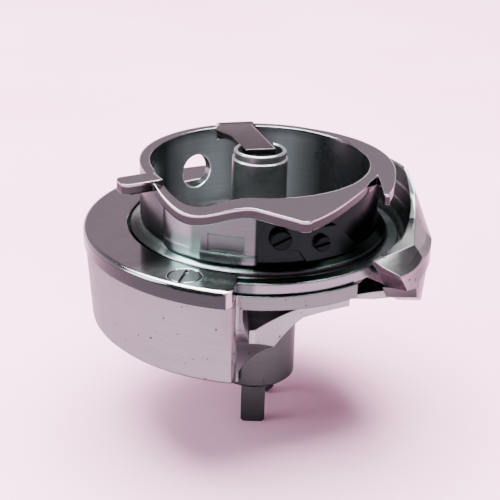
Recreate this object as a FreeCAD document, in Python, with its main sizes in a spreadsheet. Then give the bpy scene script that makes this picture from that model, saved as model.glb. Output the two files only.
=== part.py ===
import FreeCAD, Part
import math
import os
import Sketcher

# Vertical-axis rotary hook with its bobbin-case basket, for a lockstitch machine.
# Origin: centre of the mouth of the drive-shaft bore, in the stem's end face. +Z points up
# along the hook's axis to the open basket. -Y is the side where the hook's throat is open.

Vector = FreeCAD.Vector
Placement = FreeCAD.Placement
Rotation = FreeCAD.Rotation

os.makedirs("parts", exist_ok=True)
doc = FreeCAD.newDocument("hook")
sheet = doc.addObject("Spreadsheet::Sheet", "sheet")

# ---------------------------------------------------------------- driving dimensions, mm and degrees
SIZES = {
    # heights above the stem's end face
    "rimheight": 28.3, "lipthick": 1.2, "dipdepth": 2.05, "bossfoot": 21.2,
    "cupfloor": 16.8, "cupfloorthick": 1.2,
    "ribtop": 19.9, "ribfoot": 18.55, "ledgeheight": 18.5, "ledgefoot": 16.9,
    "gibseat": 18.55, "gibtop": 20.6, "gibliplow": 19.95,
    "floortop": 11.8, "floorfoot": 10.4, "skirtfoot": 9.1, "crestheight": 25.6,
    # radii from the hook's axis
    "cupradius": 13.0, "wallradius": 14.2, "bossradius": 15.0, "shoulderradius": 15.4,
    "ribradius": 16.9, "giblipradius": 15.7, "gibrebateradius": 17.05, "gibradius": 21.0,
    "skirtradius": 20.7, "skirtfootradius": 20.15, "ledgeradius": 14.6, "ringradius": 17.3, "collarradius": 17.45,
    # stem and drive
    "stemradius": 5.1, "shaftbore": 2.2, "shaftboredepth": 8.0, "clampbore": 1.6,
    "tonguewidth": 3.0, "tonguelength": 5.2, "smalltonguewidth": 1.3, "smalltonguelength": 5.0,
    "tonguedepth": 3.0, "tongueinner": 3.1, "tongueouter": 4.4,
    # directions about the axis
    "throatstart": -97.3, "throatend": -43.0, "collarend": 68.0, "gibend": 70.0,
    # centre post and latch
    "postradius": 3.3, "postbore": 2.65, "posttop": 29.55, "postshank": 3.1, "postslot": 4.0,
    "postflange": 4.6, "postflangethick": 0.3, "postneck": 17.5,
    "postslotfloor": 28.5, "ringnutradius": 4.6, "ringnutthick": 0.9,
    "latchturn": 103.0, "latchhinge": 15.45, "hingeheight": 26.75, "barrelradius": 1.05,
    "pinradius": 0.5, "latchbore": 0.54, "pinlength": 6.8, "latchthick": 0.7,
    "eargap": 4.9, "notchfloor": 26.7, "latchroot": 4.4, "latchnose": 3.5, "latchtop": 29.6,
    # screws
    "gibscrewcircle": 18.5, "gibscrewhead": 1.8, "gibscrewheadthick": 0.45,
    "gibscrewshank": 0.8, "gibscrewlength": 5.0, "gibheadbore": 1.88, "gibshankbore": 0.85,
    "clampheadradius": 3.1, "clampheadthick": 1.7, "clampshank": 1.5, "clamplength": 4.2,
    "washerradius": 3.7, "washerthick": 0.5,
    # tension spring
    "leafradius": 14.28, "leafouter": 14.62, "leaffoot": 21.2, "leaftop": 25.0,
    "adjustheight": 23.3, "adjustshank": 0.5, "adjustbore": 0.54, "adjusteye": 0.6,
    "smallshank": 0.55, "springthick": 0.25, "latchspringscrewheight": 22.8,
    "rivetradius": 0.55, "threadhole": 2.2,
    "tensionscrewheight": 24.15, "tensionfixturn": -80.5, "tensionadjustturn": -62.0,
}
for row, (alias, value) in enumerate(SIZES.items(), start=1):
    sheet.set("A%d" % row, alias)
    sheet.set("B%d" % row, str(value))
    sheet.setAlias("B%d" % row, alias)
doc.recompute()


def size(alias):
    """The value of a named cell."""
    return float(sheet.get(alias))


def polar(radius, turn):
    """A point in plan, from its radius and its direction in degrees."""
    return Vector(radius * math.cos(math.radians(turn)), radius * math.sin(math.radians(turn)), 0)


# ---------------------------------------------------------------- building tools
def new_body(name):
    body = doc.addObject("PartDesign::Body", name)
    body.Label = name
    return body


def origin_plane(body, role):
    return [o for o in body.Origin.OriginFeatures if o.Role == role][0]


def new_sketch(body, name, role, offset=None):
    sketch = body.newObject("Sketcher::SketchObject", name)
    sketch.AttachmentSupport = [(origin_plane(body, role), "")]
    sketch.MapMode = "FlatFace"
    if offset is not None:
        sketch.AttachmentOffset = offset
    return sketch


def upright(turn):
    """Offset for an XZ sketch: its x axis points along the direction turn, its y axis is +Z."""
    return Placement(Vector(), Rotation(Vector(0, 1, 0), turn))


def facing(turn):
    """Offset for an XZ sketch whose normal points outwards along the direction turn."""
    return upright(turn + 90)


def facing_at(turn, distance):
    """Like facing, with the plane moved outwards from the axis."""
    angle = math.radians(turn + 90)
    base = Vector(distance * math.sin(angle), 0, distance * math.cos(angle))
    return Placement(base, Rotation(Vector(0, 1, 0), turn + 90))


def level(alias):
    """Offset for an XY sketch at a named height."""
    return Placement(Vector(0, 0, size(alias)), Rotation())


def outline(sketch, start, steps):
    """Close a loop: a step is a point (line), a pair (arc: mid, end) or a list (smooth curve)."""
    here = start
    for step in steps + [start]:
        if isinstance(step, tuple):
            middle, there = step
            sketch.addGeometry(Part.Arc(here, middle, there), False)
        elif isinstance(step, list):
            there = step[-1]
            curve = Part.BSplineCurve()
            curve.interpolate([here] + step)
            sketch.addGeometry(curve, False)
        else:
            there = step
            if there.isEqual(here, 1e-9):
                continue
            sketch.addGeometry(Part.LineSegment(here, there), False)
        here = there


def polygon(sketch, corners):
    points = [Vector(a, b, 0) for a, b in corners]
    outline(sketch, points[0], points[1:])


def circle(sketch, alias, centre=(0, 0)):
    """A circle whose radius is bound to a named cell."""
    at = Vector(centre[0], centre[1], 0)
    index = sketch.addGeometry(Part.Circle(at, Vector(0, 0, 1), size(alias)), False)
    number = sketch.addConstraint(Sketcher.Constraint("Radius", index, size(alias)))
    sketch.setExpression("Constraints[%d]" % number, "sheet." + alias)


def pad(body, name, sketch, length, reverse=False, middle=False):
    """Raise a sketch by a length given as an expression on the sheet."""
    feature = body.newObject("PartDesign::Pad", name)
    feature.Profile = sketch
    feature.Reversed = reverse
    feature.Midplane = middle
    feature.setExpression("Length", length)
    return feature


def pocket(body, name, sketch, length, reverse=False, middle=False):
    """Cut a sketch by a length given as an expression; the cut has to remove something."""
    doc.recompute()
    before = body.Shape.Volume
    feature = body.newObject("PartDesign::Pocket", name)
    feature.Profile = sketch
    feature.Reversed = reverse
    feature.Midplane = middle
    feature.setExpression("Length", length)
    doc.recompute()
    if not body.Shape.Volume < before - 1e-6:
        raise RuntimeError(name + " removes nothing")
    return feature


def turned(body, name, sketch, angle="360", clockwise=False):
    """Turn a section about the hook's axis, anticlockwise as seen from above."""
    feature = body.newObject("PartDesign::Revolution", name)
    feature.Profile = sketch
    feature.ReferenceAxis = (sketch, ["V_Axis"])
    feature.Reversed = clockwise
    feature.setExpression("Angle", angle)
    return feature


def cut_between(body, name, sections):
    """Cut the body along straight lines drawn from each section to the next."""
    doc.recompute()
    feature = body.newObject("PartDesign::SubtractiveLoft", name)
    feature.Profile = sections[0]
    feature.Sections = [(section, [""]) for section in sections[1:]]
    feature.Ruled = True
    doc.recompute()
    return feature


# ---------------------------------------------------------------- hook body
def make_hook_body():
    body = new_body("hook_body")
    blank = new_sketch(body, "hook_blank", "XZ_Plane")
    bore, stem = size("shaftbore"), size("stemradius")
    foot, floor, skirt = size("floorfoot"), size("floortop"), size("skirtradius")
    ring, seat = size("ringradius"), size("gibseat")
    edge = 0.35
    fillet = 0.9
    lean = fillet * (1 - math.sqrt(0.5))
    corners = [Vector(r, z, 0) for r, z in [
        (stem - edge, 0), (stem, edge), (stem, foot - fillet)]]
    round_in = (Vector(stem + lean, foot - lean, 0), Vector(stem + fillet, foot, 0))
    low, low_r = size("skirtfoot"), size("skirtfootradius")
    outer = [Vector(r, z, 0) for r, z in [
        (ring + 0.6, foot), (ring + 1.1, low), (low_r - edge, low), (low_r, low + edge),
        (skirt, seat - 1.0), (skirt, seat),
        (size("gibrebateradius"), seat), (size("gibrebateradius"), size("ledgeheight")),
        (size("ledgeradius"), size("ledgeheight")), (size("ledgeradius"), size("ledgefoot")),
        (ring - edge, size("ledgefoot")), (ring - edge, floor),
        (size("clampbore"), floor), (size("clampbore"), size("shaftboredepth")),
        (bore, size("shaftboredepth"))]]
    outline(blank, Vector(bore, 0, 0), corners + [round_in] + outer)
    turned(body, "hook_turned", blank)

    # collar that carries the hook point, and the crest above it
    start = size("throatend")
    sweep = "sheet.collarend - sheet.throatend"
    collar = new_sketch(body, "collar_section", "XZ_Plane", upright(start))
    inner, outside = size("collarradius"), size("gibradius") - 0.1
    top, crest = size("gibtop"), size("crestheight")
    polygon(collar, [(inner, seat - 1.5), (outside - 0.3, seat - 1.5), (outside, seat - 1.0),
                     (outside, top - 0.7), (20.2, 22.7), (19.45, crest - 0.4), (19.2, crest),
                     (19.0, crest - 0.3), (inner, top)])
    turned(body, "collar", collar, sweep)

    # land behind the hook point: it climbs along the collar and turns steeper as it goes;
    # for each direction, the land's inner edge, its ridge, and its height at the outside
    lands = []
    for turn, (inner_r, inner_z), (ridge_r, ridge_z), outer_z in [
            (-47, (17.3, 20.7), (17.6, 20.68), 20.15),
            (-26, (17.8, 21.5), (19.75, 21.55), 19.9),
            (-8, (18.45, 22.3), (18.75, 22.35), 19.7),
            (8, (19.1, 23.9), (19.3, 23.9), 19.6),
            (24, (19.2, crest + 0.6), (19.7, crest + 0.6), 21.6)]:
        land = new_sketch(body, "land_section_%d" % len(lands), "XZ_Plane", upright(turn))
        fall = (outer_z - ridge_z) / (outside + 0.15 - ridge_r)
        far = outside + 2
        polygon(land, [(inner_r - 1.2, inner_z), (ridge_r, ridge_z),
                       (far, ridge_z + fall * (far - ridge_r)), (far, crest + 2.5),
                       (inner_r - 1.2, crest + 2.5)])
        lands.append(land)
    cut_between(body, "land", lands)

    # the collar's far end slopes down to the gib
    tail = new_sketch(body, "tail_section", "XZ_Plane", facing(size("collarend") - 8))
    polygon(tail, [(-1.2, crest + 1), (6, crest + 1), (6, top - 0.01), (3.6, top - 0.01)])
    pocket(body, "tail", tail, "30", reverse=True)

    # open throat between the skirt's end and the hook point
    first, last = size("throatstart"), size("throatend")
    middle = (first + last) / 2
    throat = new_sketch(body, "throat_plan", "XY_Plane")
    far = 26
    outline(throat, polar(ring, first), [
        (polar(ring, middle), polar(ring, last)), polar(far, last), polar(1.15 * far, middle),
        polar(far, first)])
    pocket(body, "throat", throat, "sheet.crestheight + 2", reverse=True)

    # the skirt's end is eased by a flat that narrows downwards
    ease = new_sketch(body, "skirt_end_section", "XZ_Plane", upright(-79.5))
    polygon(ease, [(19.45, low - 0.01), (19.28, seat + 0.01), (23, seat + 0.01),
                   (23, low - 0.01)])
    pocket(body, "skirt_end", ease, "20", middle=True)

    # the end of the hook point is undercut
    under = new_sketch(body, "undercut_section", "XZ_Plane", facing(last))
    polygon(under, [(-2, top - 0.15), (0, top - 0.15), (1.3, top - 1.6), (3.2, seat - 2),
                    (-2, seat - 2)])
    pocket(body, "undercut", under, "26", reverse=True)

    # rib that joins the floor to the front of the stem; its right edge sweeps down leftwards
    rib = new_sketch(body, "rib_front", "XZ_Plane", Placement(Vector(0, 0, 2.9), Rotation()))
    outline(rib, Vector(-2.2, 1.0, 0), [
        Vector(-1.9, 1.0, 0), Vector(-1.9, 2.4, 0),
        [Vector(0.2, 5.8, 0), Vector(2.6, 8.4, 0), Vector(5.7, foot - 0.02, 0)],
        Vector(5.7, floor, 0), Vector(-2.2, floor, 0)])
    pad(body, "rib", rib, "10.4")

    # window between the race ring and the floor, with the floor cut back to an arm
    window = new_sketch(body, "window_plan", "XY_Plane", level("ledgefoot"))
    brink = ring + 0.01
    corner = 1.3
    outline(window, Vector(-1.2, -math.sqrt(brink ** 2 - 1.2 ** 2), 0), [
        Vector(-1.2, -12.0 - corner, 0),
        (Vector(-0.82, -12.0 - 0.4, 0), Vector(0, -12.0, 0)),
        [Vector(2.2, -9.2, 0), Vector(5.0, -6.4, 0), Vector(9.4, -3.5, 0), Vector(14.0, -1.2, 0),
         polar(brink, -1.0)],
        (polar(brink, -48), Vector(-1.2, -math.sqrt(brink ** 2 - 1.2 ** 2), 0))])
    pocket(body, "window", window, "sheet.ledgefoot")

    # the wall under the hook point is cleared by a rising cut
    clear = new_sketch(body, "clearing_section", "YZ_Plane",
                       Placement(Vector(0, 0, 11.5), Rotation()))
    polygon(clear, [(-0.3, low - 1), (-0.3, foot), (-8.6, 14.8), (-9.6, 16.5),
                    (-12.0, seat - 1.3), (-24, seat - 1.3), (-24, low - 1)])
    pocket(body, "clearing", clear, "14", reverse=True)

    # web that joins the skirt's end to the arm; its free edge leans
    web = new_sketch(body, "web_side", "YZ_Plane", Placement(Vector(0, 0, -2.6), Rotation()))
    web_top, into_ledge = size("cupfloor") - size("cupfloorthick") - 0.5, size("ledgefoot") + 0.5
    polygon(web, [(-17.2, foot), (-17.2, into_ledge), (-14.8, into_ledge), (-14.8, web_top),
                  (-10.5, web_top), (-10.5, foot)])
    pad(body, "web", web, "1.9")
    edge_cut = new_sketch(body, "web_edge_front", "XZ_Plane", Placement(
        Vector(0, 0, 10.4), Rotation()))
    polygon(edge_cut, [(-1.5, size("ledgefoot")), (-1.5, 15.8), (-0.85, 12.6), (-0.3, floor),
                       (1, floor), (1, size("ledgefoot"))])
    pocket(body, "web_edge", edge_cut, "7.2", reverse=True)

    # the web's and rib's fronts are one hollow sweep from the ring down to the stem
    sweep_in = new_sketch(body, "front_sweep_side", "YZ_Plane",
                          Placement(Vector(0, 0, -2.2), Rotation()))
    outline(sweep_in, Vector(-17.25, 15.8, 0), [
        [Vector(-16.4, 13.2, 0), Vector(-12.4, 10.2, 0), Vector(-8.2, 7.3, 0),
         Vector(-6.1, 4.6, 0), Vector(-5.4, 1.0, 0)],
        Vector(-5.4, -1, 0), Vector(-22, -1, 0), Vector(-22, 15.8, 0)])
    pocket(body, "front_sweep", sweep_in, "8.5", reverse=True)

    # the skirt's foot is cut back on the right
    right = new_sketch(body, "right_foot_front", "XZ_Plane")
    polygon(right, [(8, 8), (8, size("skirtfoot")), (13.5, foot + 0.35), (23, foot + 0.35),
                    (23, 8)])
    pocket(body, "right_foot", right, "60", middle=True)

    # tapped holes for the gib's screws, and its locating pins' holes
    taps = new_sketch(body, "gib_taps", "XY_Plane", level("gibseat"))
    for turn in gib_screw_turns():
        at = polar(size("gibscrewcircle"), turn)
        circle(taps, "gibscrewshank", (at.x, at.y))
    pocket(body, "gib_tap_holes", taps, "sheet.gibscrewlength - 1.2")
    pins = new_sketch(body, "gib_pin_places", "XY_Plane", level("gibseat"))
    for turn in GIB_PIN_TURNS:
        at = polar(size("gibscrewcircle"), turn)
        pins.addGeometry(Part.Circle(at, Vector(0, 0, 1), GIB_PIN_RADIUS), False)
    pocket(body, "gib_pin_holes", pins, "1.6")

    # set-screw holes across the stem, and the slots that hold the drive tongues
    for number, turn in enumerate(SET_SCREW_TURNS):
        cross = new_sketch(body, "set_screw_place_%d" % number, "XZ_Plane", facing(turn))
        cross.addGeometry(Part.Circle(Vector(0, SET_SCREW_HEIGHT, 0), Vector(0, 0, 1),
                                      SET_SCREW_RADIUS), False)
        pocket(body, "set_screw_hole_%d" % number, cross, "6", reverse=True)
    for name, (turn, width, length) in TONGUES.items():
        slot = new_sketch(body, name + "_slot", "XY_Plane")
        outline(slot, *tongue_plan(turn, size(width)))
        pocket(body, name + "_slot_cut", slot, "sheet.tonguedepth", reverse=True)

    # oil port through the race's ledge, under the gib
    port = new_sketch(body, "oil_port_place", "XY_Plane", level("ledgeheight"))
    at = polar(15.9, OIL_TURN)
    port.addGeometry(Part.Circle(at, Vector(0, 0, 1), WICK_RADIUS), False)
    pocket(body, "oil_port", port, "sheet.ledgeheight - sheet.ledgefoot + 0.01")
    return body


GIB_PIN_TURNS = [-160.0, 95.0]
GIB_PIN_RADIUS = 0.6
SET_SCREW_TURNS = [15.0, 135.0]
SET_SCREW_HEIGHT = 5.2
SET_SCREW_RADIUS = 1.0
TONGUES = {"drive_tongue_wide": (-90.0, "tonguewidth", "tonguelength"),
           "drive_tongue_narrow": (60.0, "smalltonguewidth", "smalltonguelength")}
OIL_TURN = 178.0
WICK_RADIUS = 0.7
BRAKE_RIVET_TURNS = [30.0, 210.0]
BRAKE_RIVET_CIRCLE = 7.2


def gib_screw_turns():
    """Three screws: near the gib's front end, at its left back and at the back."""
    return [-115.0, 140.0, 84.0]


def tongue_plan(turn, width):
    """Start point and steps of a drive tongue's rectangle in plan."""
    along, across = polar(1, turn), polar(width / 2, turn + 90)
    inner, outer = along * size("tongueinner"), along * size("tongueouter")
    return inner - across, [outer - across, outer + across, inner + across]


def make_drive_tongues():
    for name, (turn, width, length) in TONGUES.items():
        body = new_body(name)
        plan = new_sketch(body, name + "_plan", "XY_Plane", level("tonguedepth"))
        outline(plan, *tongue_plan(turn, size(width)))
        pad(body, name + "_bar", plan, "sheet.tonguedepth + sheet." + length, reverse=True)
        trim = new_sketch(body, name + "_trim", "XZ_Plane", facing(turn))
        half, low = size(width) / 2, -size(length)
        for side in (1, -1):
            polygon(trim, [(side * (half + 0.1), low - 0.1), (side * (half + 0.1), low + 0.45),
                           (side * (half - 0.45), low - 0.1)])
        pocket(body, name + "_corners", trim, "6", reverse=True)
        yield body


# ---------------------------------------------------------------- retaining gib
def make_gib():
    body = new_body("retaining_gib")
    section = new_sketch(body, "gib_section", "XZ_Plane", upright(size("throatstart")))
    seat, top, lip = size("gibseat"), size("gibtop"), size("gibliplow")
    inner, outer = size("giblipradius"), size("gibradius")
    roll = 0.55
    sink = roll * (1 - math.sqrt(0.5))
    points = [Vector(r, z, 0) for r, z in [
        (size("gibrebateradius"), seat), (outer - 0.12, seat), (outer, seat + 0.12),
        (outer, top - roll)]]
    outline(section, points[0], points[1:] + [
        (Vector(outer - sink, top - sink, 0), Vector(outer - roll, top, 0)),
        Vector(inner + 0.15, top, 0), Vector(inner, top - 0.15, 0), Vector(inner, lip, 0),
        Vector(size("gibrebateradius"), lip, 0)])
    sweep = "360 + sheet.throatstart - sheet.gibend"
    turned(body, "gib_ring", section, sweep, clockwise=True)
    corner, end = 1.1, size("throatstart")
    round_at = polar(outer - corner, end - 3.17)
    rounding = new_sketch(body, "gib_corner_plan", "XY_Plane", level("gibtop"))
    outline(rounding, polar(outer + 0.03, end - 3.4), [
        (round_at + polar(corner, end + 42), polar(outer - corner - 0.2, end + 0.03)),
        polar(outer + 2, end + 2), polar(outer + 2, end - 4)])
    pocket(body, "gib_corner", rounding, "sheet.gibtop - sheet.gibseat")
    heads = new_sketch(body, "gib_head_places", "XY_Plane", level("gibtop"))
    shanks = new_sketch(body, "gib_shank_places", "XY_Plane", level("gibtop"))
    for turn in gib_screw_turns():
        at = polar(size("gibscrewcircle"), turn)
        circle(heads, "gibheadbore", (at.x, at.y))
        circle(shanks, "gibshankbore", (at.x, at.y))
    pocket(body, "gib_head_seats", heads, "sheet.gibscrewheadthick")
    pocket(body, "gib_shank_holes", shanks, "sheet.gibtop - sheet.gibseat")
    pins = new_sketch(body, "gib_pin_bores", "XY_Plane", level("gibseat"))
    for turn in GIB_PIN_TURNS:
        at = polar(size("gibscrewcircle"), turn)
        pins.addGeometry(Part.Circle(at, Vector(0, 0, 1), GIB_PIN_RADIUS), False)
    pocket(body, "gib_pin_sockets", pins, "1.2", reverse=True)
    return body


def make_screw(head_radius, head_thick, shank_radius, length, slot_width, slot_depth):
    """A slotted screw along +Z, its head's top at the origin; returns its solid."""
    head = Part.makeCylinder(head_radius, head_thick, Vector(0, 0, -head_thick))
    rim = [e for e in head.Edges if e.BoundBox.ZMin > -1e-6 and e.Length > 1e-3]
    head = head.makeChamfer(min(0.12, head_thick / 3), rim)
    shank = Part.makeCylinder(shank_radius, length, Vector(0, 0, -head_thick - length))
    slot = Part.makeBox(4 * head_radius, slot_width, slot_depth,
                        Vector(-2 * head_radius, -slot_width / 2, -slot_depth))
    return head.fuse(shank).cut(slot)


def place_shape(name, shapes):
    """A sub-part made of one or more separate solids."""
    feature = doc.addObject("Part::Feature", name)
    feature.Label = name
    feature.Shape = shapes[0] if len(shapes) == 1 else Part.makeCompound(shapes)
    return feature


def turned_to(shape, position, axis, twist=0.0):
    """Copy a shape, its own +Z laid along axis and its origin at position."""
    copy = shape.copy()
    spin = Rotation(Vector(0, 0, 1), twist)
    copy.Placement = Placement(position, Rotation(Vector(0, 0, 1), axis).multiply(spin))
    return copy


def make_gib_screws():
    screw = make_screw(size("gibscrewhead"), size("gibscrewheadthick"),
                       size("gibscrewshank"), size("gibscrewlength"), 0.55, 0.28)
    copies = []
    for number, turn in enumerate(gib_screw_turns()):
        at = polar(size("gibscrewcircle"), turn) + Vector(0, 0, size("gibtop"))
        copies.append(turned_to(screw, at, Vector(0, 0, 1), 78.0 + 47.0 * number))
    return place_shape("gib_screws", copies)


def make_gib_pins():
    copies = []
    for turn in GIB_PIN_TURNS:
        at = polar(size("gibscrewcircle"), turn) + Vector(0, 0, size("gibseat") - 1.6)
        copies.append(Part.makeCylinder(GIB_PIN_RADIUS, 2.7, at))
    return place_shape("gib_pins", copies)


# ---------------------------------------------------------------- basket (the bobbin case)
def dip_curve(raise_by):
    """The saddle in the rim's left front, as plan x against height, raised by an amount."""
    depth = size("dipdepth")
    shares = [(-12.1, 0), (-10.4, 0.61), (-8.1, 1.0), (-5.9, 0.81), (-3.1, 0.24), (-0.6, 0)]
    return [Vector(x, raise_by - share * depth, 0) for x, share in shares]


def rim_outline(sketch):
    """The rim's outer edge: a thread slit, the hooked lug, the round back and the beak."""
    wall = size("wallradius")
    slit = [polar(r, a) for r, a in [(14.74, -22.8), (16.0, -31.4), (17.15, -37.2)]]
    lug = [polar(r, a) for r, a in [
        (17.25, -31), (16.45, -20.5), (15.95, -8), (15.6, 6), (15.25, 22), (14.75, 40),
        (wall, 62)]]
    left = [polar(r, a) for r, a in [
        (14.35, -152), (14.75, -139), (15.15, -125), (15.5, -112), (15.95, -97)]]
    beak = [polar(r, a) for r, a in [
        (17.2, -60.5), (15.75, -50.5), (14.75, -39), (14.1, -27), (13.62, -18.4)]]
    outline(sketch, polar(13.62, -18.4), [
        (polar(13.84, -16.4), polar(14.1, -17.6)),
        slit,
        (polar(17.68, -38.0), polar(17.62, -35.8)),
        lug,
        (polar(wall, 128), polar(wall, -165)),
        left,
        polar(16.2, -91.2),
        polar(19.55, -78.0),
        (polar(20.05, -76.2), polar(19.65, -73.6)),
        beak])


def make_basket():
    body = new_body("bobbin_case_basket")
    top, lip = size("rimheight"), size("lipthick")
    reach = 24

    plan = new_sketch(body, "rim_plan", "XY_Plane", level("rimheight"))
    rim_outline(plan)
    pad(body, "rim_plate", plan, "sheet.lipthick + sheet.dipdepth + 0.3", reverse=True)

    # underside of the lip: it follows the saddle at the front and is level at the back
    low = top - lip - size("dipdepth") - 1
    under = dip_curve(top - lip)
    front = new_sketch(body, "lip_underside", "XZ_Plane")
    outline(front, Vector(-reach, top - lip, 0), [
        under[0], under[1:], Vector(reach, top - lip, 0), Vector(reach, low, 0),
        Vector(-reach, low, 0)])
    pocket(body, "lip_front", front, "24", reverse=True)
    back = new_sketch(body, "lip_underside_back", "XZ_Plane")
    polygon(back, [(-reach, top - lip), (reach, top - lip), (reach, low), (-reach, low)])
    pocket(body, "lip_back", back, "24")

    # cup, shoulder and bearing rib
    wall, cup, rib = size("wallradius"), size("cupradius"), size("ribradius")
    floor, thick = size("cupfloor"), size("cupfloorthick")
    shoulder, ribtop, ribfoot = size("shoulderradius"), size("ribtop"), size("ribfoot")
    corner = 0.8
    lean = corner * (1 - math.sqrt(0.5))
    section = new_sketch(body, "cup_section", "XZ_Plane")
    points = [Vector(r, z, 0) for r, z in [
        (cup, top), (wall, top), (wall, size("bossfoot")), (shoulder, ribtop + 0.6),
        (shoulder, ribtop), (rib - 0.1, ribtop), (rib, ribtop - 0.1), (rib, ribfoot + 0.1),
        (rib - 0.1, ribfoot), (wall, ribfoot), (wall, floor - thick + 0.5),
        (wall - 0.5, floor - thick), (size("postshank"), floor - thick),
        (size("postshank"), floor), (cup - corner, floor)]]
    outline(section, points[0], points[1:] + [
        (Vector(cup - lean, floor + lean, 0), Vector(cup, floor + corner, 0))])
    turned(body, "cup", section)

    # bobbin space
    inside = new_sketch(body, "cup_mouth", "XY_Plane", level("rimheight"))
    circle(inside, "cupradius")
    pocket(body, "cup_space", inside, "sheet.rimheight - sheet.cupfloor - 0.8")

    # boss that thickens the wall left of the throat, with its ledge
    foot, ledge = size("bossfoot"), 22.25
    for name, radius, low_at, high_at in [("boss", size("bossradius"), foot, top - lip),
                                          ("boss_ledge", size("bossradius") + 0.14, foot, ledge)]:
        boss = new_sketch(body, name + "_plan", "XY_Plane", Placement(Vector(0, 0, low_at),
                                                                      Rotation()))
        buried = wall - 0.5
        outline(boss, polar(buried, -90.4), [
            (polar(buried, -116), polar(buried, -141)),
            [polar(wall + 0.12, -138), polar(radius - 0.22, -126), polar(radius, -115)],
            (polar(radius, -103), polar(radius, -90.4))])
        pad(body, name, boss, "%.3f" % (high_at - low_at))

    # the boss's right edge runs out into the lip in a hollow curve
    toe = new_sketch(body, "boss_toe_side", "XZ_Plane", facing_at(-88.0, wall - 0.4))
    side = math.radians(2.4) * size("bossradius")
    outline(toe, Vector(-side - 0.5, top - lip + 0.1, 0), [
        Vector(-side - 0.5, top - 5.0, 0), Vector(-side, top - 5.0, 0),
        (Vector(-side + 0.42, top - 3.1, 0), Vector(-side + 1.75, top - lip - 0.1, 0)),
        Vector(-side + 1.75, top - lip + 0.1, 0)])
    pad(body, "boss_toe", toe, "sheet.bossradius - sheet.wallradius + 0.3")

    # shallow window in the boss
    panel = new_sketch(body, "panel_side", "XZ_Plane", facing_at(-103.6, 14.62))
    polygon(panel, [(-2.1, ledge + 0.1), (1.95, ledge + 0.1), (1.95, ledge + 2.1),
                    (-2.1, ledge + 2.1)])
    pocket(body, "panel", panel, "2", reverse=True)

    # saddle in the rim's left front
    saddle = dip_curve(top)
    dip = new_sketch(body, "saddle_side", "XZ_Plane")
    outline(dip, saddle[0], [saddle[1:], Vector(saddle[-1].x, top + 1, 0),
                             Vector(saddle[0].x, top + 1, 0)])
    pocket(body, "saddle", dip, "24", reverse=True)

    # position finger: the machine holds the basket still by it
    finger = new_sketch(body, "finger_plan", "XY_Plane", level("rimheight"))
    turn, half, tip, soft = -149.5, 1.4, 18.1, 0.9
    along, across = polar(1, turn), polar(1, turn + 90)
    bend = soft * math.sqrt(0.5)
    outline(finger, along * 13.4 - across * half, [
        along * (tip - soft) - across * half,
        (along * (tip - soft + bend) - across * (half - soft + bend),
         along * tip - across * (half - soft)),
        along * tip + across * (half - soft),
        (along * (tip - soft + bend) + across * (half - soft + bend),
         along * (tip - soft) + across * half),
        along * 13.4 + across * half])
    pad(body, "finger", finger, "sheet.lipthick", reverse=True)

    # ears for the latch's hinge pin, and the notch that the latch lies in
    hinge, height, ear = size("latchhinge"), size("hingeheight"), 0.9
    away = size("latchturn")
    ears = new_sketch(body, "ear_side", "XZ_Plane", upright(away))
    outline(ears, Vector(13.5, height + ear, 0), [
        Vector(13.5, 24.0, 0), Vector(14.3, 24.0, 0), Vector(hinge + 0.7, height - 0.6, 0),
        (Vector(hinge + ear, height, 0), Vector(hinge, height + ear, 0))])
    pad(body, "ears", ears, "sheet.eargap + 2", middle=True)
    gap = new_sketch(body, "ear_gap_side", "XZ_Plane", upright(away))
    polygon(gap, [(wall, 23.5), (hinge + 2, 23.5), (hinge + 2, 29), (wall, 29)])
    pocket(body, "ear_gap", gap, "sheet.eargap", middle=True)
    notch = new_sketch(body, "latch_notch_plan", "XY_Plane", level("notchfloor"))
    along, across = polar(1, away), polar(1, away + 90)
    outline(notch, along * 11 - across * 2.4, [
        along * 14.4 - across * 2.4, along * 14.4 + across * 2.4, along * 13.9 + across * 2.75,
        along * 11 + across * 2.75])
    pocket(body, "latch_notch", notch, "4", reverse=True)
    eye = new_sketch(body, "pin_eye", "XZ_Plane", upright(away))
    circle(eye, "pinradius", (hinge, height))
    pocket(body, "pin_eyes", eye, "12", middle=True)

    # thread hole through the back of the wall
    hole = new_sketch(body, "thread_hole_place", "XZ_Plane", facing(128.4))
    circle(hole, "threadhole", (0, 22.9))
    pocket(body, "thread_hole", hole, "17", reverse=True)

    # screw holes in the wall
    for name, turn_at, height_at, radius in [
            ("fix_hole", size("tensionfixturn"), size("tensionscrewheight"), "smallshank"),
            ("adjust_hole", size("tensionadjustturn"), size("adjustheight"), "adjustbore"),
            ("latch_spring_hole", away, size("latchspringscrewheight"), "smallshank")]:
        place = new_sketch(body, name + "_place", "XZ_Plane", facing_at(turn_at, 12.0))
        circle(place, radius, (0, height_at))
        pocket(body, name, place, "3.5", reverse=True)

    # rivet holes for the bobbin brake
    rivets = new_sketch(body, "brake_rivet_places", "XY_Plane", level("cupfloor"))
    for turn_at in BRAKE_RIVET_TURNS:
        at = polar(BRAKE_RIVET_CIRCLE, turn_at)
        circle(rivets, "rivetradius", (at.x, at.y))
    pocket(body, "brake_rivet_holes", rivets, "sheet.cupfloorthick + 0.1")
    return body


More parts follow.
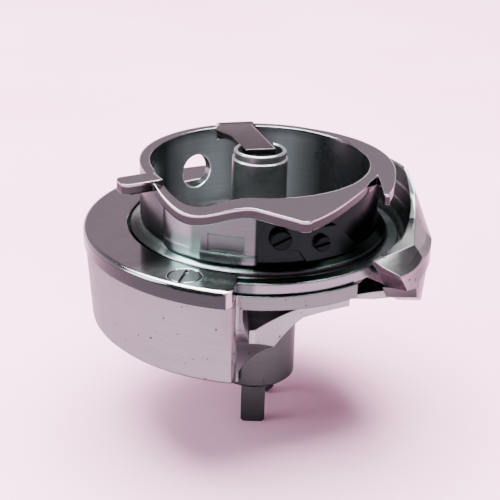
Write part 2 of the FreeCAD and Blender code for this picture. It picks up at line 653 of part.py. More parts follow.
# ---------------------------------------------------------------- centre post and its nut
def make_centre_post():
    body = new_body("centre_post")
    section = new_sketch(body, "post_section", "XZ_Plane")
    outer, bore, shank = size("postradius"), size("postbore"), size("postshank")
    top, seat, foot = size("posttop"), size("cupfloor"), 14.5
    flange, step, neck = size("postflange"), seat + size("postflangethick"), size("postneck")
    slot_floor = size("postslotfloor")
    polygon(section, [(bore, foot), (shank, foot), (shank, seat), (flange, seat),
                      (flange, step), (shank, step), (shank, neck), (outer, neck),
                      (outer, slot_floor), (shank, slot_floor + 0.1), (shank, top - 0.15),
                      (shank - 0.15, top), (bore + 0.15, top), (bore, top - 0.15)])
    turned(body, "post_turned", section)
    slot = new_sketch(body, "post_slot_side", "XZ_Plane", upright(size("latchturn")))
    polygon(slot, [(0.6, slot_floor), (5, slot_floor), (5, top + 1), (0.6, top + 1)])
    pocket(body, "post_slot", slot, "sheet.postslot", middle=True)
    return body


def make_ring_nut():
    body = new_body("post_ring_nut")
    plan = new_sketch(body, "nut_plan", "XY_Plane", Placement(
        Vector(0, 0, size("cupfloor") - size("cupfloorthick")), Rotation()))
    polygon(plan, [(size("ringnutradius") * math.cos(math.radians(60 * k)),
                    size("ringnutradius") * math.sin(math.radians(60 * k))) for k in range(6)])
    circle(plan, "postshank")
    pad(body, "nut", plan, "sheet.ringnutthick", reverse=True)
    return body


# ---------------------------------------------------------------- latch
def make_latch():
    body = new_body("latch_lever")
    away, hinge, height = size("latchturn"), size("latchhinge"), size("hingeheight")
    barrel, thick, top = size("barrelradius"), size("latchthick"), size("latchtop")
    root, nose = size("latchroot") / 2, size("latchnose") / 2

    def at(s, t):
        return polar(1, away) * s + polar(1, away + 90) * t

    plan = new_sketch(body, "latch_plan", "XY_Plane", Placement(Vector(0, 0, 25.5), Rotation()))
    outline(plan, at(-0.3, -nose), [
        at(12.1, -nose), at(13.0, -root), at(hinge + barrel + 0.2, -root),
        at(hinge + barrel + 0.2, root), at(13.6, root + 0.1),
        [at(12.9, 2.5), at(12.3, 2.8), at(10.3, 3.1), at(8.4, 2.5), at(6.2, nose + 0.2)],
        at(-0.3, nose + 0.05)])
    pad(body, "latch_block", plan, "4.7")

    # side shape: a thin arm that slopes gently down, then rolls over a round barrel
    knee = Vector(13.4, 28.55, 0)
    fall = (top - knee.y) / knee.x
    start = -1.0
    side = new_sketch(body, "latch_upper_side", "XZ_Plane", upright(away))
    outline(side, Vector(start, top - fall * start, 0), [
        knee, (Vector(15.5, 27.95, 0), Vector(hinge + barrel, height, 0)),
        Vector(hinge + 3, height, 0), Vector(hinge + 3, top + 2, 0),
        Vector(start, top + 2, 0)])
    pocket(body, "latch_upper", side, "12", middle=True)
    lower = new_sketch(body, "latch_lower_side", "XZ_Plane", upright(away))
    heel = 13.9
    outline(lower, Vector(start, top - fall * start - thick, 0), [
        Vector(heel, top - fall * heel - thick, 0), Vector(hinge - barrel, height, 0),
        (Vector(hinge, height - barrel, 0), Vector(hinge + barrel, height, 0)),
        Vector(hinge + 3, height, 0), Vector(hinge + 3, 25, 0), Vector(start, 25, 0)])
    pocket(body, "latch_lower", lower, "12", middle=True)
    bore = new_sketch(body, "latch_bore_side", "XZ_Plane", upright(away))
    circle(bore, "latchbore", (hinge, height))
    pocket(body, "latch_bore", bore, "12", middle=True)
    return body


def make_hinge_pin():
    body = new_body("latch_hinge_pin")
    section = new_sketch(body, "pin_section", "XZ_Plane", upright(size("latchturn")))
    circle(section, "pinradius", (size("latchhinge"), size("hingeheight")))
    pad(body, "pin", section, "sheet.pinlength", middle=True)
    return body


# ---------------------------------------------------------------- springs and small screws
def make_tension_spring():
    body = new_body("tension_spring")
    middle = -63.0
    side = new_sketch(body, "leaf_side", "XZ_Plane", facing(middle))
    eye_t = size("leafradius") * math.sin(math.radians(size("tensionfixturn") - middle))
    eye_z, eye = size("tensionscrewheight"), 1.2
    outline(side, Vector(eye_t, eye_z + eye, 0), [
        Vector(2.2, size("leaftop"), 0), Vector(5.7, size("leaffoot") + 0.3, 0),
        Vector(5.3, size("leaffoot"), 0), Vector(-1.4, size("leaffoot"), 0),
        Vector(-2.3, 22.6, 0), Vector(eye_t, eye_z - eye, 0),
        (Vector(eye_t - eye, eye_z, 0), Vector(eye_t, eye_z + eye, 0))])
    pad(body, "leaf_block", side, "20")
    inner = new_sketch(body, "leaf_inner", "XY_Plane")
    circle(inner, "leafradius")
    pocket(body, "leaf_inner_cut", inner, "40", reverse=True)
    outer = new_sketch(body, "leaf_outer", "XY_Plane")
    circle(outer, "leafouter")
    outer.addGeometry(Part.Circle(Vector(), Vector(0, 0, 1), 40), False)
    pocket(body, "leaf_outer_cut", outer, "40", reverse=True)
    for name, turn, height, radius in [
            ("leaf_eye", size("tensionfixturn"), eye_z, "smallshank"),
            ("leaf_slot", size("tensionadjustturn"), size("adjustheight"), "adjusteye")]:
        place = new_sketch(body, name + "_place", "XZ_Plane", facing(turn))
        circle(place, radius, (0, height))
        pocket(body, name, place, "20", reverse=True)
    return body


def make_latch_spring():
    body = new_body("latch_spring")
    side = new_sketch(body, "latch_spring_side", "XZ_Plane",
                      facing_at(size("latchturn"), size("wallradius")))
    wide, foot, head = 1.5, 21.4, 25.55
    screw = size("latchspringscrewheight")
    outline(side, Vector(-wide, screw, 0), [
        (Vector(0, foot, 0), Vector(wide, screw, 0)), Vector(wide - 0.35, head, 0),
        Vector(-wide + 0.35, head, 0)])
    pad(body, "latch_spring_leaf", side, "sheet.springthick")
    place = new_sketch(body, "latch_spring_eye", "XZ_Plane", facing(size("latchturn")))
    circle(place, "smallshank", (0, screw))
    pocket(body, "latch_spring_hole_cut", place, "20", reverse=True)
    return body


def wall_screw(turn, height, distance, head_radius, head_thick, shank_radius):
    """A slotted screw driven inwards, square to the wall; distance is its head's underside."""
    length = distance - size("cupradius") - 0.1
    screw = make_screw(head_radius, head_thick, shank_radius, length, 0.36,
                       head_thick * 0.55)
    at = polar(distance + head_thick, turn) + Vector(0, 0, height)
    return turned_to(screw, at, polar(1, turn), 35.0)


def make_small_screws():
    height = size("tensionscrewheight")
    leaf = size("leafouter")
    yield place_shape("tension_fixing_screw", [wall_screw(
        size("tensionfixturn"), height, leaf, 1.15, 0.5, size("smallshank"))])
    yield place_shape("tension_adjusting_screw", [wall_screw(
        size("tensionadjustturn"), size("adjustheight"), leaf + 0.07, 0.95, 0.5,
        size("adjustshank"))])
    yield place_shape("latch_spring_screw", [wall_screw(
        size("latchturn"), size("latchspringscrewheight"),
        size("wallradius") + size("springthick"), 1.05, 0.5, size("smallshank"))])


def make_clamp_screw():
    head = size("clampheadthick")
    screw = make_screw(size("clampheadradius"), head, size("clampshank"),
                       size("clamplength"), 0.9, 0.8)
    top = size("floortop") + size("washerthick") + head
    return place_shape("hook_clamp_screw", [turned_to(
        screw, Vector(0, 0, top), Vector(0, 0, 1), 20.0)])


def make_washer():
    body = new_body("clamp_washer")
    plan = new_sketch(body, "washer_plan", "XY_Plane", level("floortop"))
    circle(plan, "washerradius")
    circle(plan, "clampbore")
    pad(body, "washer", plan, "sheet.washerthick")
    return body


def make_set_screws():
    """Grub screws in the stem, clear of the shaft's bore, each with a screwdriver slot."""
    copies = []
    depth = size("stemradius") - size("shaftbore") - 0.35
    for turn in SET_SCREW_TURNS:
        grub = Part.makeCylinder(SET_SCREW_RADIUS, depth, Vector(0, 0, -depth))
        slot = Part.makeBox(4, 0.35, 0.5, Vector(-2, -0.175, -0.5))
        at = polar(size("stemradius") - 0.25, turn) + Vector(0, 0, SET_SCREW_HEIGHT)
        copies.append(turned_to(grub.cut(slot), at, polar(1, turn), 30.0))
    return place_shape("stem_set_screws", copies)


def make_brake_spring():
    """Dished disc on the cup's floor that keeps the bobbin from running on."""
    body = new_body("bobbin_brake_spring")
    section = new_sketch(body, "brake_section", "XZ_Plane")
    floor, thick = size("cupfloor"), size("springthick")
    polygon(section, [(5.6, floor), (8.6, floor), (11.8, floor + 0.55),
                      (11.8, floor + 0.55 + thick), (8.6, floor + thick), (5.6, floor + thick)])
    turned(body, "brake_turned", section)
    holes = new_sketch(body, "brake_holes", "XY_Plane", level("cupfloor"))
    for turn in BRAKE_RIVET_TURNS:
        at = polar(BRAKE_RIVET_CIRCLE, turn)
        circle(holes, "rivetradius", (at.x, at.y))
    pocket(body, "brake_hole_cut", holes, "5", reverse=True)
    return body


def make_brake_rivets():
    copies = []
    for turn in BRAKE_RIVET_TURNS:
        at = polar(BRAKE_RIVET_CIRCLE, turn)
        foot = size("cupfloor") - size("cupfloorthick")
        shank = Part.makeCylinder(size("rivetradius"), size("cupfloorthick") + 0.6,
                                  at + Vector(0, 0, foot))
        head = Part.makeCylinder(1.0, 0.3, at + Vector(
            0, 0, size("cupfloor") + size("springthick")))
        copies.append(shank.fuse(head))
    return place_shape("brake_rivets", copies)


def make_oil_wick():
    at = polar(15.9, OIL_TURN) + Vector(0, 0, size("ledgefoot"))
    wick = Part.makeCylinder(WICK_RADIUS, size("ledgeheight") - size("ledgefoot") - 0.05, at)
    return place_shape("oil_wick", [wick])


# ---------------------------------------------------------------- assembly and export
pieces = [
    make_hook_body(), *make_drive_tongues(), make_gib(), make_gib_screws(), make_gib_pins(),
    make_basket(), make_centre_post(), make_ring_nut(), make_latch(), make_hinge_pin(),
    make_tension_spring(), make_latch_spring(), *make_small_screws(), make_clamp_screw(),
    make_washer(), make_set_screws(), make_brake_spring(), make_brake_rivets(), make_oil_wick(),
]
doc.recompute()

for item in doc.Objects:
    if "Invalid" in item.State or "Error" in item.State:
        raise RuntimeError("%s failed: %s" % (item.Name, item.State))
for piece in pieces:
    if piece.Shape.isNull() or not piece.Shape.isValid() or not piece.Shape.Solids:
        raise RuntimeError(piece.Label + " has no valid solid")
    piece.Shape.exportStep("parts/%s.step" % piece.Label)
    print("%-26s %d solid(s) %9.2f mm3" % (
        piece.Label, len(piece.Shape.Solids), piece.Shape.Volume))
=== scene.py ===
"""Looks for a rotary sewing hook with its bobbin case basket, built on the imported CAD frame."""
import math
from collections import namedtuple
import bpy
from mathutils import Matrix, Vector


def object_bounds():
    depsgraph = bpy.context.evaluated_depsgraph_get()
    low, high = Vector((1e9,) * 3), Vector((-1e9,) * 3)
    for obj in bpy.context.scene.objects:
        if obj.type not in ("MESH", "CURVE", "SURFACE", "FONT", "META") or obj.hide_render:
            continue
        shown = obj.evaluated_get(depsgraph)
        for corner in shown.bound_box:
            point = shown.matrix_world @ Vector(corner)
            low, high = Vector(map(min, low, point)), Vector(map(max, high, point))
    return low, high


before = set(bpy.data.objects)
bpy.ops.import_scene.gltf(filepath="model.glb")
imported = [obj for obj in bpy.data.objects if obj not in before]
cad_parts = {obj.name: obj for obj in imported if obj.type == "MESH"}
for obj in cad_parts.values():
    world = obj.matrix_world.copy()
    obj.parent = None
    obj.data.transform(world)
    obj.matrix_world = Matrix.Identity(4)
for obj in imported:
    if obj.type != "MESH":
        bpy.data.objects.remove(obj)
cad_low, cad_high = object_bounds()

MM = 0.001


# ---------------------------------------------------------------- node helpers
class Nodes:
    """A short way to write a material's node tree."""

    def __init__(self, tree):
        self.tree = tree

    def add(self, kind, inputs=None, **settings):
        node = self.tree.nodes.new("ShaderNode" + kind)
        for key, value in settings.items():
            setattr(node, key, value)
        for key, value in (inputs or {}).items():
            socket = node.inputs[key]
            if isinstance(value, bpy.types.NodeSocket):
                self.tree.links.new(value, socket)
            else:
                socket.default_value = value
        return node

    def math(self, operation, a, b=0.0, clamp=False):
        node = self.add("Math", {0: a, 1: b}, operation=operation, use_clamp=clamp)
        return node.outputs[0]

    def product(self, first, *others):
        for other in others:
            first = self.math("MULTIPLY", first, other)
        return first

    def span(self, value, low, high, to_low=0.0, to_high=1.0, shape="LINEAR"):
        """Map a value from one range to another, held inside it."""
        node = self.add("MapRange", {"Value": value, "From Min": low, "From Max": high,
                                     "To Min": to_low, "To Max": to_high},
                        interpolation_type=shape)
        return node.outputs["Result"]

    def between(self, value, low, high, soft):
        """1 between two values, falling to 0 outside them."""
        above = self.span(value, low - soft, low + soft)
        return self.product(above, self.span(value, high - soft, high + soft, 1.0, 0.0))

    def tint(self, share, first, second):
        """Blend from the first colour to the second."""
        node = self.add("Mix", data_type="RGBA")
        for socket, value in ((node.inputs[0], share), (node.inputs[6], first),
                              (node.inputs[7], second)):
            if isinstance(value, bpy.types.NodeSocket):
                self.tree.links.new(value, socket)
            elif socket.type == "RGBA":
                socket.default_value = (*value, 1.0)
            else:
                socket.default_value = value
        return node.outputs[2]

    def noise(self, place, scale, detail=2.0, rough=0.5):
        return self.add("TexNoise", {"Vector": place, "Scale": scale, "Detail": detail,
                                     "Roughness": rough}).outputs["Fac"]


def new_material(name):
    material = bpy.data.materials.new(name)
    material.use_nodes = True
    material.node_tree.nodes.clear()
    return material, Nodes(material.node_tree)


def millimetres(n):
    """Object coordinates in millimetres."""
    place = n.add("TexCoord").outputs["Object"]
    return n.add("VectorMath", {0: place, 3: 1.0 / MM}, operation="SCALE").outputs[0]


# ---------------------------------------------------------------- steel
# A stretch of a piece painted with light or shade: the least and greatest radius and height in
# millimetres and direction in degrees, its painted colour, its roughness, and how softly it ends,
# in degrees sideways and in millimetres up and down.
PaintedLightZone = namedtuple("PaintedLightZone", "radii heights directions colour roughness fade")

# the dip in the rim's left front: the x of its ends and of its lowest place, and its depth
SADDLE_LEFT = -12.1
SADDLE_LOWEST = -8.1
SADDLE_RIGHT = -0.6
SADDLE_DEPTH = 2.05

ZONE_RADIUS_FADE = 0.05
SMUDGE_SHARE = 0.5
LINE_SHARE = 0.22
PIT_COLOUR = (0.06, 0.055, 0.06)


def saddle_depth(n, axes):
    """How far the rim's left front lies below the rest of it, near the rim's height."""
    down = n.math("SINE", n.span(axes[0], SADDLE_LEFT, SADDLE_LOWEST, 0.0, math.pi / 2))
    up = n.span(axes[0], SADDLE_LOWEST, SADDLE_RIGHT, 1.0, 0.0, "SMOOTHSTEP")
    front = n.math("LESS_THAN", axes[1], 0.0)
    near_rim = n.span(axes[2], 22.0, 24.0, 0.0, SADDLE_DEPTH)
    return n.product(n.math("MINIMUM", down, up), front, near_rim)


def grain_lines(n, axes, across, around, grain, fineness):
    """Fine lines that run round the axis ("turned"), along it ("upright") or along x ("flat")."""
    if grain == "turned":
        stretched = (n.product(across, fineness), n.product(around, 1.6),
                     n.product(axes[2], fineness))
    elif grain == "upright":
        stretched = (n.product(across, fineness), n.product(around, 18 * fineness),
                     n.product(axes[2], 0.25))
    else:
        stretched = (n.product(axes[0], 0.3), n.product(axes[1], fineness),
                     n.product(axes[2], fineness))
    place = n.add("CombineXYZ", dict(enumerate(stretched))).outputs[0]
    return n.noise(place, 1.0, 5.0, 0.7)


def pit_mask(n, place, amount):
    """1 inside small round pits, which crowd together in places."""
    cells = n.add("TexVoronoi", {"Vector": place, "Scale": 1.15, "Randomness": 1.0})
    reach = n.span(n.noise(place, 0.6, 1.0), 0.45, 0.75, 0.0, 0.16)
    return n.math("LESS_THAN", cells.outputs["Distance"], n.product(reach, amount))


def steel(name, colour, smudged, roughness, spread, pits, fineness, grain="turned",
          grain_depth=0.0010, ease=0.16, glance=0.6, zones=(), saddle=False):
    """Polished or ground steel: grain, smudges, fine pits, slightly dulled patches, and zones of
    painted light and shade.

    Ease is the radius of the softened edges and grain_depth the depth of the grain, both in
    millimetres. Glance is how much light the steel throws back at a grazing angle. With a
    saddle, the zones' heights follow the rim's dip.
    """
    material, n = new_material(name)
    place = millimetres(n)
    axes = n.add("SeparateXYZ", {0: place}).outputs
    across = n.math("SQRT", n.math("ADD", n.math("POWER", axes[0], 2.0),
                                   n.math("POWER", axes[1], 2.0)))
    around = n.math("ARCTAN2", axes[1], axes[0])
    lines = grain_lines(n, axes, across, around, grain, fineness)
    smear = n.span(n.noise(place, 0.22, 4.0, 0.6), 0.35, 0.7)
    pit = pit_mask(n, place, pits)
    fine = n.math("ADD", n.product(lines, 0.6), n.product(n.noise(place, 2.6, 3.0, 0.6), 0.4))

    shown = n.tint(n.product(smear, SMUDGE_SHARE), colour, smudged)
    shown = n.tint(n.span(lines, 0.38, 0.62, 0.0, LINE_SHARE), shown, smudged)
    dull = n.span(fine, 0.35, 0.65, roughness - spread / 2, roughness + spread / 2)
    direction = n.product(around, 180 / math.pi)
    level = n.math("ADD", axes[2], saddle_depth(n, axes)) if saddle else axes[2]
    # zones of painted light and shade, each with the grain showing through it
    for zone in zones:
        sideways, upright = zone.fade
        share = n.product(n.between(across, *zone.radii, ZONE_RADIUS_FADE),
                          n.product(n.between(level, *zone.heights, upright),
                                    n.between(direction, *zone.directions, sideways)))
        painted_light_with_grain = n.tint(n.span(lines, 0.36, 0.64, 0.0, 0.35), zone.colour,
                      tuple(0.6 * channel for channel in zone.colour))
        shown = n.tint(share, shown, painted_light_with_grain)
        dull = n.math("ADD", n.product(dull, n.math("SUBTRACT", 1.0, share)),
                      n.product(share, zone.roughness))
    shown = n.tint(n.product(pit, 0.8), shown, PIT_COLOUR)
    dull = n.math("ADD", n.math("ADD", dull, n.product(smear, spread)),
                  n.product(pit, 0.35), clamp=True)

    height = n.math("SUBTRACT", lines, n.product(pit, 3.0))
    eased = n.add("Bevel", {"Radius": ease * MM}, samples=6)
    bump = n.add("Bump", {"Height": height, "Strength": 0.6, "Distance": grain_depth * MM,
                          "Normal": eased.outputs[0]})
    shader = n.add("BsdfPrincipled", {"Base Color": shown, "Metallic": 1.0,
                                      "Roughness": dull, "Normal": bump.outputs[0]})
    shader.inputs["Specular Tint"].default_value = (glance, glance, glance, 1.0)
    n.add("OutputMaterial", {"Surface": shader.outputs[0]})
    return material


def felt(name, colour, dark):
    """Pressed felt that has soaked up a little oil."""
    material, n = new_material(name)
    place = millimetres(n)
    fibre = n.noise(place, 7.0, 6.0, 0.75)
    shown = n.tint(n.span(fibre, 0.3, 0.7), dark, colour)
    bump = n.add("Bump", {"Height": fibre, "Strength": 1.0, "Distance": 0.1 * MM})
    shader = n.add("BsdfPrincipled", {"Base Color": shown, "Roughness": 0.9,
                                      "Normal": bump.outputs[0]})
    shader.inputs["Sheen Weight"].default_value = 0.4
    n.add("OutputMaterial", {"Surface": shader.outputs[0]})
    return material


# ---------------------------------------------------------------- finishes, and painted light and shade
ALL_ROUND = (-200, 200)
CRISP = (0.5, 0.06)
NEAR_CRISP = (1, 0.1)
SOFT = (2, 0.2)

CUP_INSIDE = (0, 13.2)
CUP_HEIGHTS = (17.4, 28.0)
WALL = (13.3, 30)
RECESS = (13.3, 15.2)
RECESS_HEIGHTS = (19.95, 27.05)
SHOULDER = (13.3, 15.7)
SKIRT = (19.7, 22)
SKIRT_HEIGHTS = (8, 18.6)

# painted shade for the left of the wall, the recess, the skirt and the inside of the collar
LEFT_WALL_PAINTED_SHADE = (0.040, 0.056, 0.050)
RECESS_PAINTED_SHADE = (0.006, 0.011, 0.009)
SKIRT_PAINTED_SHADE = (0.150, 0.182, 0.168)
COLLAR_PAINTED_SHADE = (0.022, 0.026, 0.025)

BASKET_PAINTED_LIGHT = [
    # inside of the cup: painted shade all round, with painted bluish highlights, a little duller,
    # on the left and right
    PaintedLightZone(CUP_INSIDE, CUP_HEIGHTS, ALL_ROUND, (0.12, 0.133, 0.137), 0.26, CRISP),
    PaintedLightZone(CUP_INSIDE, CUP_HEIGHTS, (102, 144), (0.92, 0.98, 1.0), 0.30, (10, 1.0)),
    PaintedLightZone(CUP_INSIDE, CUP_HEIGHTS, (62, 88), (0.76, 0.84, 0.86), 0.30, (10, 1.0)),
    # outer wall: painted shade, darkest on the left, with a painted highlight beside the boss,
    # then the boss in painted shade
    PaintedLightZone(WALL, (15, 27.1), ALL_ROUND, (0.145, 0.180, 0.172), 0.22, CRISP),
    PaintedLightZone(WALL, (20.9, 27.1), (-240, -133), LEFT_WALL_PAINTED_SHADE, 0.22, (9, 0.5)),
    PaintedLightZone(WALL, (20.9, 27.1), (155, 240), LEFT_WALL_PAINTED_SHADE, 0.22, (12, 0.5)),
    PaintedLightZone((13.3, 14.3), (21.2, 24.6), (-134, -119), (0.70, 0.92, 0.86), 0.22, (5, 0.5)),
    PaintedLightZone((14.35, 30), (15, 27.1), (-120, -91), (0.062, 0.093, 0.082), 0.24, NEAR_CRISP),
    # shoulder at its foot: painted shade all round, with a painted teal sheen at the front
    PaintedLightZone(SHOULDER, (18.6, 21.0), ALL_ROUND, (0.035, 0.044, 0.042), 0.25, NEAR_CRISP),
    PaintedLightZone(SHOULDER, (18.8, 21.2), (-132, -96), (0.30, 0.38, 0.38), 0.25, (6, 0.6)),
    # painted shade in the recess beside the boss, fading out at the back, and a painted dark
    # reflection on the rim's outer side
    PaintedLightZone(RECESS, RECESS_HEIGHTS, (-91.5, -20), RECESS_PAINTED_SHADE, 0.20, CRISP),
    PaintedLightZone(RECESS, RECESS_HEIGHTS, (-40, 50), RECESS_PAINTED_SHADE, 0.20, (18, 0.06)),
    PaintedLightZone((13.2, 30), (27.12, 28.05), ALL_ROUND, (0.026, 0.033, 0.030), 0.18, CRISP),
]
HOOK_PAINTED_LIGHT = [
    # skirt in painted shade
    PaintedLightZone(SKIRT, SKIRT_HEIGHTS, (50, 200), SKIRT_PAINTED_SHADE, 0.34, (8, 0.06)),
    PaintedLightZone(SKIRT, SKIRT_HEIGHTS, (-200, -80), SKIRT_PAINTED_SHADE, 0.34, (1, 0.06)),
    # painted shade on the web and rib, arm, stem, then the ring, deepest on the stem
    PaintedLightZone((5.6, 16.5), (-1, 11.9), ALL_ROUND, (0.20, 0.265, 0.235), 0.32, NEAR_CRISP),
    PaintedLightZone((5.6, 16.9), (11.9, 16.8), (-97, -10), (0.11, 0.14, 0.13), 0.30, NEAR_CRISP),
    PaintedLightZone((0, 5.6), (-1, 11.9), ALL_ROUND, (0.052, 0.074, 0.064), 0.32, NEAR_CRISP),
    PaintedLightZone((16.5, 18.7), (14, 19.9), (-97, -43), (0.09, 0.122, 0.108), 0.20, NEAR_CRISP),
    # land behind the hook point, in painted shade
    PaintedLightZone((17.7, 22), (19.4, 22.8), (-50, 4), (0.15, 0.15, 0.15), 0.26, SOFT),
    # inside of the collar, which leans outwards, in painted shade
    PaintedLightZone((17.0, 18.1), (20.6, 22.0), (-26, 80), COLLAR_PAINTED_SHADE, 0.22, SOFT),
    PaintedLightZone((17.0, 18.6), (22.0, 23.6), (-20, 80), COLLAR_PAINTED_SHADE, 0.22, SOFT),
    PaintedLightZone((17.0, 19.05), (23.6, 25.4), (-10, 80), COLLAR_PAINTED_SHADE, 0.22, SOFT),
    # outside below the hook point, in painted shade
    PaintedLightZone((17.4, 22), (0, 19.4), (-38, 25), (0.045, 0.058, 0.053), 0.24, (12, 0.4)),
    PaintedLightZone((20.2, 22), (19.0, 23.5), (-28, 25), (0.055, 0.067, 0.062), 0.24, (12, 0.5)),
]
GIB_PAINTED_LIGHT = [
    # painted light on the top at the front, then painted shade on the outer edge
    PaintedLightZone((14, 20.7), (20.4, 21), (-128, -96), (0.72, 0.76, 0.76), 0.16, (5, 0.1)),
    PaintedLightZone((20.85, 22), (18.5, 20.3), ALL_ROUND, (0.024, 0.035, 0.031), 0.16, NEAR_CRISP),
]

MATERIALS = {
    "polished": steel("polished_steel", (0.36, 0.345, 0.36), (0.25, 0.245, 0.26),
                      roughness=0.10, spread=0.05, pits=0.5, fineness=7.0,
                      grain_depth=0.0004),
    "post": steel("post_steel", (0.44, 0.48, 0.48), (0.20, 0.22, 0.22),
                  roughness=0.26, spread=0.10, pits=0.6, fineness=4.0, grain="upright"),
    "gib": steel("gib_steel", (0.28, 0.27, 0.28), (0.20, 0.195, 0.205),
                 roughness=0.10, spread=0.05, pits=0.5, fineness=7.0, grain_depth=0.0004,
                 ease=0.24, glance=0.75, zones=GIB_PAINTED_LIGHT),
    "latch": steel("latch_steel", (0.16, 0.148, 0.153), (0.12, 0.11, 0.115),
                   roughness=0.09, spread=0.04, pits=0.6, fineness=8.0, grain="flat",
                   grain_depth=0.0004, ease=0.22, glance=0.5),
    "basket": steel("basket_steel", (0.34, 0.335, 0.34), (0.24, 0.235, 0.245),
                    roughness=0.11, spread=0.05, pits=0.5, fineness=7.0, grain_depth=0.0005,
                    ease=0.28, zones=BASKET_PAINTED_LIGHT, saddle=True),
    "hook": steel("hook_steel", (0.30, 0.325, 0.315), (0.22, 0.235, 0.228),
                  roughness=0.25, spread=0.10, pits=1.6, fineness=8.0, grain_depth=0.0016,
                  ease=0.22, zones=HOOK_PAINTED_LIGHT),
    "screw": steel("screw_steel", (0.30, 0.29, 0.30), (0.16, 0.155, 0.17),
                   roughness=0.20, spread=0.08, pits=0.4, fineness=10.0, grain="flat"),
    # screws in the recess, darkened with painted shade
    "painted_shade_screw": steel("painted_shade_screw_steel", (0.004, 0.0075, 0.0065), (0.003, 0.005, 0.0045),
                        roughness=0.28, spread=0.08, pits=0.4, fineness=10.0, grain="flat"),
    # blued spring steel, made darker still with painted shade
    "spring": steel("spring_steel", (0.007, 0.013, 0.011), (0.004, 0.0075, 0.0065),
                    roughness=0.28, spread=0.08, pits=0.5, fineness=9.0, grain="flat"),
    "blackened": steel("blackened_steel", (0.058, 0.080, 0.070), (0.032, 0.044, 0.038),
                       roughness=0.42, spread=0.14, pits=0.8, fineness=4.0, grain="upright",
                       grain_depth=0.0016),
    "felt": felt("oiled_felt", (0.70, 0.64, 0.52), (0.38, 0.31, 0.22)),
}

PIECES_BY_FINISH = {
    "hook": ["hook_body"],
    "gib": ["retaining_gib"],
    "basket": ["bobbin_case_basket"],
    "post": ["centre_post"],
    "latch": ["latch_lever"],
    "polished": ["bobbin_brake_spring"],
    "screw": ["gib_screws", "gib_pins", "hook_clamp_screw", "clamp_washer", "post_ring_nut",
              "latch_hinge_pin", "latch_spring_screw", "brake_rivets"],
    "painted_shade_screw": ["tension_fixing_screw", "tension_adjusting_screw"],
    "spring": ["latch_spring", "tension_spring"],
    "blackened": ["drive_tongue_wide", "drive_tongue_narrow", "stem_set_screws"],
    "felt": ["oil_wick"],
}


def finish_piece(node, material):
    """Give a CAD node its material and smooth shading."""
    node.data.materials.clear()
    node.data.materials.append(material)
    for polygon in node.data.polygons:
        polygon.use_smooth = True


for finish, pieces in PIECES_BY_FINISH.items():
    for piece in pieces:
        finish_piece(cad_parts[piece], MATERIALS[finish])


# ---------------------------------------------------------------- floor, light and camera
FLOOR_HALF = 1.5
FLOOR_PINKS = ((0.92, 0.46, 0.68), (0.97, 0.55, 0.75))

# the room's light: the glow at the foot of a light tent, its wall, the dark above it, and the
# dim side in front of the object, low and high
TENT_GLOW = (6.0, 4.8, 5.5)
TENT_WALL = (0.85, 0.66, 0.77)
CEILING = (0.10, 0.115, 0.12)
FRONT_LOW = (0.55, 0.50, 0.53)
FRONT_HIGH = (0.06, 0.07, 0.075)

# the angles above the horizon, in degrees, between which one gives way to the next
GLOW_TO_WALL = (2, 9)
WALL_TO_CEILING = (26, 42)
FRONT_LOW_TO_HIGH = (4, 40)
# the same from front to back, along y of a direction of length 1
FRONT_TO_BACK = (-0.45, 0.35)

CAMERA_ELEVATION = math.radians(23.6)
CAMERA_ROLL = math.radians(1.6)
CAMERA_DISTANCE = 136.7 * MM
CAMERA_TARGET = Vector((-0.88, 0, 16.5)) * MM
CAMERA_LENS = 80.35
SENSOR_WIDTH = 36.0
NEAREST_SEEN = 0.01
FURTHEST_SEEN = 20.0


def make_floor():
    mesh = bpy.data.meshes.new("floor")
    low = cad_low.z
    corners = [(-1, -1), (1, -1), (1, 1), (-1, 1)]
    mesh.from_pydata([(FLOOR_HALF * x, FLOOR_HALF * y, low) for x, y in corners], [],
                     [(0, 1, 2, 3)])
    floor = bpy.data.objects.new("floor", mesh)
    bpy.context.scene.collection.objects.link(floor)
    material, n = new_material("floor_paper")
    shade = n.noise(millimetres(n), 0.012, 2.0)
    shown = n.tint(n.span(shade, 0.3, 0.7), *FLOOR_PINKS)
    shader = n.add("BsdfPrincipled", {"Base Color": shown, "Roughness": 0.75})
    n.add("OutputMaterial", {"Surface": shader.outputs[0]})
    mesh.materials.append(material)


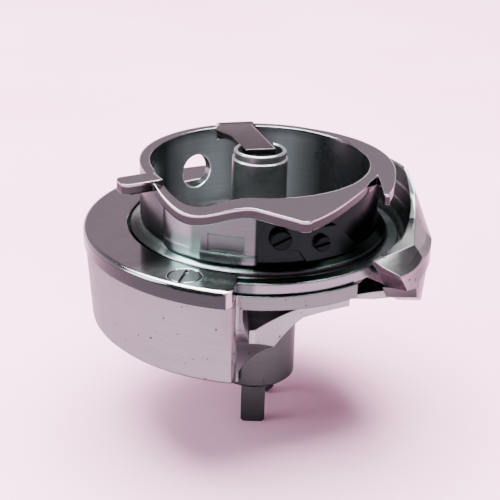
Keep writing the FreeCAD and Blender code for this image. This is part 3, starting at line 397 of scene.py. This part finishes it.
def make_world():
    """Room seen by the steel: rosy brightness near the horizon, dim above and in front."""
    world = bpy.data.worlds.new("room")
    world.use_nodes = True
    bpy.context.scene.world = world
    world.node_tree.nodes.clear()
    n = Nodes(world.node_tree)
    way = n.add("SeparateXYZ", {0: n.add("TexCoord").outputs["Generated"]}).outputs
    rise = n.product(n.math("ARCSINE", way[2]), 180 / math.pi)
    tent = n.tint(n.span(rise, *GLOW_TO_WALL), TENT_GLOW, TENT_WALL)
    back = n.tint(n.span(rise, *WALL_TO_CEILING), tent, CEILING)
    front = n.tint(n.span(rise, *FRONT_LOW_TO_HIGH), FRONT_LOW, FRONT_HIGH)
    room = n.tint(n.span(way[1], *FRONT_TO_BACK), front, back)
    light = n.add("Background", {"Color": room, "Strength": 1.0})
    n.add("OutputWorld", {"Surface": light.outputs[0]})


def soft_light(name, place, aim, size, power, colour):
    data = bpy.data.lights.new(name, "AREA")
    data.shape = "RECTANGLE"
    data.size = size[0]
    data.size_y = size[1]
    data.energy = power
    data.color = colour
    light = bpy.data.objects.new(name, data)
    bpy.context.scene.collection.objects.link(light)
    light.location = place
    away = aim - Vector(place)
    light.rotation_mode = "QUATERNION"
    light.rotation_quaternion = away.to_track_quat("-Z", "Y")


def make_camera():
    back = Vector((0, -math.cos(CAMERA_ELEVATION), math.sin(CAMERA_ELEVATION)))
    data = bpy.data.cameras.new("camera")
    data.lens = CAMERA_LENS
    data.sensor_width = SENSOR_WIDTH
    data.clip_start = NEAREST_SEEN
    data.clip_end = FURTHEST_SEEN
    camera = bpy.data.objects.new("camera", data)
    bpy.context.scene.collection.objects.link(camera)
    roll = Matrix.Rotation(CAMERA_ROLL, 4, back)
    look = (-back).to_track_quat("-Z", "Y").to_matrix().to_4x4()
    place = Matrix.Translation(CAMERA_TARGET + back * CAMERA_DISTANCE)
    camera.matrix_world = place @ roll @ look
    bpy.context.scene.camera = camera


make_floor()
make_world()
middle = Vector((0, 0, 0.018))
soft_light("overhead", place=(-0.04, 0.09, 0.60), aim=middle, size=(0.68, 0.68),
           power=34.0, colour=(1.0, 0.97, 0.99))
soft_light("left_window", place=(-0.45, -0.10, 0.25), aim=middle, size=(0.20, 0.30),
           power=2.5, colour=(0.90, 0.98, 1.0))
make_camera()
